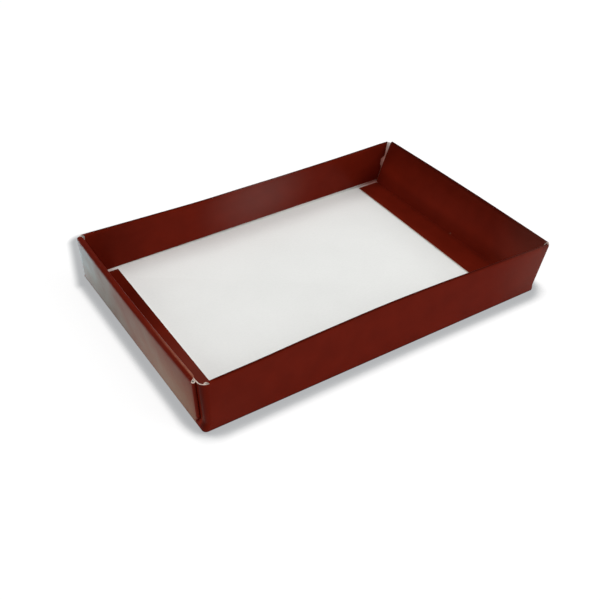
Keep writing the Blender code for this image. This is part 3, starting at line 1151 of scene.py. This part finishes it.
@dataclass(frozen=True)
class EdgeFibres:
    """Short paper fibres that stand out of the cut edges, strewn along them by Geometry Nodes."""

    spacing: float = 0.45 * MM  # from one fibre to the next
    length: float = 0.34 * MM  # of the longest fibre
    radius: float = 0.014 * MM
    seed: int = 7  # for their turns and lengths
    bend: Triple = (0.55, 0.3, 0.5)  # how far along the straight fibre its middle lies, on each axis
    sway: Triple = (4.0, 3.0, 0.0)  # how far its middle stands off that, in radii
    sides: int = 5  # of a fibre, and steps along it
    turn: Triple = (2.4, 2.4, 3.1)  # the most that one is turned about each axis
    least: float = 0.35  # length of the shortest, as a share of the longest

    def tree(self) -> bpy.types.GeometryNodeTree:
        """Builds the node tree.

        Returns:
            The tree: a path, points along it, and a fibre at each.
        """
        tree = bpy.data.node_groups.new("edge_fibres", "GeometryNodeTree")
        kinds = {
            "Geometry": "Geometry", "Spacing": "Float", "Length": "Float", "Radius": "Float",
            "Seed": "Int", "Material": "Material",
        }
        for name, kind in kinds.items():
            tree.interface.new_socket(name, in_out="INPUT", socket_type=f"NodeSocket{kind}")
        tree.interface.new_socket("Geometry", in_out="OUTPUT", socket_type="NodeSocketGeometry")
        nodes = NodeMaker(tree)
        given = nodes.add("NodeGroupInput").outputs
        curve = nodes.add("GeometryNodeMeshToCurve", {"Mesh": given["Geometry"]}).outputs["Curve"]
        inputs = {"Curve": curve, "Length": given["Spacing"]}
        path = nodes.add("GeometryNodeResampleCurve", inputs, mode="LENGTH").outputs["Curve"]

        tip = nodes.add("ShaderNodeCombineXYZ", {"Z": given["Length"]}).outputs["Vector"]
        inputs = {"X": given["Radius"], "Y": given["Radius"]}
        aside = nodes.add("ShaderNodeCombineXYZ", inputs).outputs["Vector"]
        middle = nodes.vector("MULTIPLY_ADD", aside, self.sway, nodes.vector("MULTIPLY", tip, self.bend))
        inputs = {"Resolution": self.sides, "Start": (0.0, 0.0, 0.0), "Middle": middle, "End": tip}
        strand = nodes.add("GeometryNodeCurveQuadraticBezier", inputs).outputs["Curve"]
        inputs = {"Resolution": self.sides, "Radius": given["Radius"]}
        ring = nodes.add("GeometryNodeCurvePrimitiveCircle", inputs).outputs["Curve"]
        inputs = {"Curve": strand, "Profile Curve": ring, "Fill Caps": True}
        fibre = nodes.add("GeometryNodeCurveToMesh", inputs).outputs["Mesh"]

        inputs = {0: tuple(-angle for angle in self.turn), 1: self.turn, "Seed": given["Seed"]}
        turn = nodes.add("FunctionNodeRandomValue", inputs, data_type="FLOAT_VECTOR").outputs[0]
        inputs = {2: self.least, 3: 1.0, "Seed": given["Seed"]}
        grow = nodes.add("FunctionNodeRandomValue", inputs, data_type="FLOAT").outputs[1]
        inputs = {"Points": path, "Instance": fibre, "Rotation": turn, "Scale": grow}
        strewn = nodes.add("GeometryNodeInstanceOnPoints", inputs).outputs["Instances"]
        real = nodes.add("GeometryNodeRealizeInstances", {"Geometry": strewn}).outputs["Geometry"]
        inputs = {"Geometry": real, "Material": given["Material"]}
        done = nodes.add("GeometryNodeSetMaterial", inputs).outputs["Geometry"]
        nodes.add("NodeGroupOutput", {"Geometry": done})
        return tree

    def make(self, lines: bpy.types.Object, material: bpy.types.Material) -> bpy.types.Object:
        """Strews the fibres.

        Args:
            lines: the line mesh that follows the cut edges.
            material: for the fibres.

        Returns:
            The fibres as one plain mesh.
        """
        tree = self.tree()
        strewer = lines.modifiers.new("edge_fibres", "NODES")
        strewer.node_group = tree
        values = {
            "Spacing": self.spacing, "Length": self.length, "Radius": self.radius,
            "Seed": self.seed, "Material": material,
        }
        for item in tree.interface.items_tree:
            if item.in_out == "INPUT" and item.name in values:
                strewer[item.identifier] = values[item.name]
        return keep_result(lines, "cut_edge_fibres")


# ---- studio


@dataclass(frozen=True)
class Softbox:
    """One large square soft light that faces the tray."""

    name: str
    place: Triple  # where it hangs
    side: float  # length of its sides
    power: float  # in watts

    def make(self) -> None:
        """Adds the light."""
        data = bpy.data.lights.new(self.name, "AREA")
        data.shape = "RECTANGLE"
        data.size = data.size_y = self.side
        data.energy = self.power
        light = bpy.data.objects.new(self.name, data)
        light.location = self.place
        light.rotation_mode = "QUATERNION"
        light.rotation_quaternion = (-Vector(self.place)).to_track_quat("-Z", "Y")
        bpy.context.scene.collection.objects.link(light)


@dataclass(frozen=True)
class Floor:
    """The pale floor, white to the camera but for the tray's painted shadow, with a painted gleam beside the
    left wall.
    """

    half: float = 3.0  # half its width
    drop: float = 0.02 * MM  # how far it lies under the tray
    seen: Triple = (1.0, 1.0, 1.0)  # its colour as the camera sees it
    lamp_share: float = 0.18  # how much of that the lamps light
    glow: float = 0.86  # how much comes without lamps
    lit: Triple = (0.86, 0.86, 0.86)  # its colour as other surfaces see it
    shadow: Triple = (0.455, 0.465, 0.475)  # its colour in the painted shadow close under the tray's walls
    # how far out from the walls a point is dimmed by them, by Y
    shadow_reach: Range = mm(-76, -64, 10.4, 8.8)
    shadow_open: Pair = (0.71, 1.01)  # how open a point is where the shadow is full, and where it is gone
    samples: int = 16  # for that openness
    # middle and half size of a painted shadow behind the tray, laid as if the tray cast it to its back
    cast: tuple[Triple, Triple] = (mm(-0.7, 76.6, 0), mm(96.4, 20, 0))
    cast_tilt: float = 0.080  # how much further back it lies for each metre to the left
    cast_slant: float = 0.276  # how much further right it lies for each metre to the back
    cast_reach: Pair = mm(3.2, 9)  # how far out from its core it is full, and gone
    wall_foot: float = -100.5 * MM  # where the left wall meets the floor
    gleam: float = 4.5  # how bright the floor beside the left wall glows to that wall's gloss, at the most: a painted reflection
    gleam_reach: float = 11 * MM  # how far out from the wall it goes
    gleam_full: float = 0.8  # the share of that within which it is full
    gleam_span: Pair = mm(-70, 110)  # where it starts and ends along the wall
    gleam_slant: float = 0.795  # how much further back it lies for each metre out from the wall
    gleam_front: Pair = mm(-63.5, -61)  # where on the wall it begins to show, and shows in full
    # (share along, colour) of it
    gleam_stops: tuple[tuple[float, Triple], ...] = (
        (0.00, (0.200, 0.170, 0.095)),
        (0.58, (0.200, 0.256, 0.222)),
        (0.75, (0.322, 0.467, 0.444)),
        (1.00, (0.500, 0.850, 0.920)),
    )

    def make(self) -> None:
        """Adds the floor."""
        signs = ((-1, -1), (1, -1), (1, 1), (-1, 1))
        data = bpy.data.meshes.new("studio_floor")
        data.from_pydata([(x * self.half, y * self.half, 0.0) for x, y in signs], [], [(0, 1, 2, 3)])
        floor = bpy.data.objects.new("studio_floor", data)
        floor.location.z = -self.drop
        material, nodes, shader = new_material("studio_floor")
        path = nodes.add("ShaderNodeLightPath").outputs
        place = nodes.place()
        white = self.white(nodes, place)
        tone, gleam = self.gleaming(nodes, nodes.axes(place))
        seen = path["Is Camera Ray"]
        gleam = nodes.times(gleam, path["Is Glossy Ray"], self.gleam)
        nodes.feed(shader, {
            "Base Color": nodes.colour(seen, self.lit, nodes.colour(self.lamp_share, (0.0, 0.0, 0.0), white)),
            "Roughness": 1.0,
            "Specular IOR Level": 0.0,
            "Emission Color": nodes.colour(seen, tone, white),
            "Emission Strength": nodes.math("MAXIMUM", gleam, nodes.times(seen, self.glow)),
        })
        data.materials.append(material)
        bpy.context.scene.collection.objects.link(floor)

    def white(self, nodes: NodeMaker, place: Socket) -> Socket:
        """Gives the floor's colour to the camera: white but for the painted shadows.

        Args:
            nodes: the floor's node maker.
            place: the point on the floor.

        Returns:
            The colour, soft at the shadows' edges.
        """
        reach = nodes.ranged(nodes.axes(place)["Y"], *self.shadow_reach)
        inputs = {"Color": (1.0, 1.0, 1.0), "Distance": reach}
        near = nodes.add("ShaderNodeAmbientOcclusion", inputs, samples=self.samples).outputs["AO"]
        middle, half = self.cast
        along = nodes.axes(nodes.vector("SUBTRACT", place, middle))
        sheared = nodes.math("MULTIPLY_ADD", along["Y"], -self.cast_slant, along["X"])
        tilted = nodes.math("MULTIPLY_ADD", along["X"], self.cast_tilt, along["Y"])
        square = nodes.add("ShaderNodeCombineXYZ", {"X": sheared, "Y": tilted}).outputs["Vector"]
        over = nodes.vector("SUBTRACT", nodes.vector("ABSOLUTE", square), half)
        far = nodes.vector("LENGTH", nodes.vector("MAXIMUM", over, (0.0, 0.0, 0.0)), output="Value")
        near = nodes.ranged(near, *self.shadow_open, soft=True)
        far = nodes.ranged(far, *self.cast_reach, soft=True)
        return nodes.colour(nodes.math("MINIMUM", near, far), self.shadow, self.seen)

    def gleaming(self, nodes: NodeMaker, axes: bpy.types.NodeOutputs) -> tuple[Socket, Socket]:
        """Gives the glow that the left wall's gloss sees on the floor beside it: a painted reflection.

        Args:
            nodes: the floor's node maker.
            axes: X, Y and Z of the point on the floor.

        Returns:
            Its colour, and how far it shows.
        """
        full = self.wall_foot - self.gleam_full * self.gleam_reach
        across = nodes.math("SUBTRACT", axes["X"], self.wall_foot)
        mirrored = nodes.math("MULTIPLY_ADD", across, self.gleam_slant, axes["Y"])
        beside = nodes.times(
            nodes.ranged(axes["X"], self.wall_foot - self.gleam_reach, full),
            nodes.math("LESS_THAN", axes["X"], self.wall_foot),
            nodes.ranged(mirrored, *self.gleam_front),
        )
        ramp = nodes.add("ShaderNodeValToRGB", {"Fac": nodes.ranged(axes["Y"], *self.gleam_span)})
        stops = ramp.color_ramp.elements
        for _ in self.gleam_stops[2:]:
            stops.new(1.0)
        for stop, (share, tone) in zip(stops, self.gleam_stops):
            stop.position = share
            stop.color = (*tone, 1.0)
        return ramp.outputs["Color"], beside


@dataclass(frozen=True)
class Studio:
    """The floor, soft light and the camera."""

    # the soft lights
    lights: tuple[Softbox, ...] = (
        Softbox("light_top", (0.0, 0.0, 1.5), 1.4, 9.6),
        Softbox("light_right", (0.9, -0.8, 0.9), 1.0, 13.5),
        Softbox("light_left", (-1.2, 0.1, 0.7), 1.0, 5.0),
    )
    sky: float = 0.30  # strength of the even light from all round
    lens: float = 53.2  # the camera's focal length in millimetres
    sensor: float = 36.0  # its sensor's width in millimetres
    nearest: float = 0.01  # how close to it things are shown
    eye: Triple = (-0.21305, -0.3208, 0.28)  # its place
    yaw: float = -32.79  # its turn about the vertical, in degrees
    pitch: float = 37.14  # how far it looks down, in degrees
    roll: float = 0.40  # its tilt, in degrees

    def make(self) -> None:
        """Sets up the floor, the world, the lights and the camera."""
        Floor().make()
        world = bpy.data.worlds.new("studio_air")
        world.use_nodes = True
        air = world.node_tree.nodes["Background"]
        NodeMaker(world.node_tree).feed(air, {"Color": (1.0, 1.0, 1.0), "Strength": self.sky})
        bpy.context.scene.world = world
        for light in self.lights:
            light.make()
        self.make_camera()

    def make_camera(self) -> None:
        """Adds the camera."""
        yaw, pitch, roll = (math.radians(angle) for angle in (self.yaw, self.pitch, self.roll))
        turn = Matrix.Rotation(yaw, 4, "Z") @ Matrix.Rotation(math.pi / 2 - pitch, 4, "X")
        data = bpy.data.cameras.new("camera")
        data.lens = self.lens
        data.sensor_width = self.sensor
        data.clip_start = self.nearest
        camera = bpy.data.objects.new("camera", data)
        camera.matrix_world = Matrix.Translation(self.eye) @ turn @ Matrix.Rotation(roll, 4, "Z")
        bpy.context.scene.collection.objects.link(camera)
        bpy.context.scene.camera = camera


def main() -> None:
    """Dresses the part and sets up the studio."""
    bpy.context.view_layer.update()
    tray, lines = Tray().make()
    fibres = EdgeFibres().make(lines, tray.data.materials[Face.CUT])
    for piece in (tray, fibres):
        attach(piece, BODY)
    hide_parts(NODE)
    Studio().make()
    bpy.context.scene.view_settings.view_transform = "Standard"


if __name__ == "__main__":
    main()
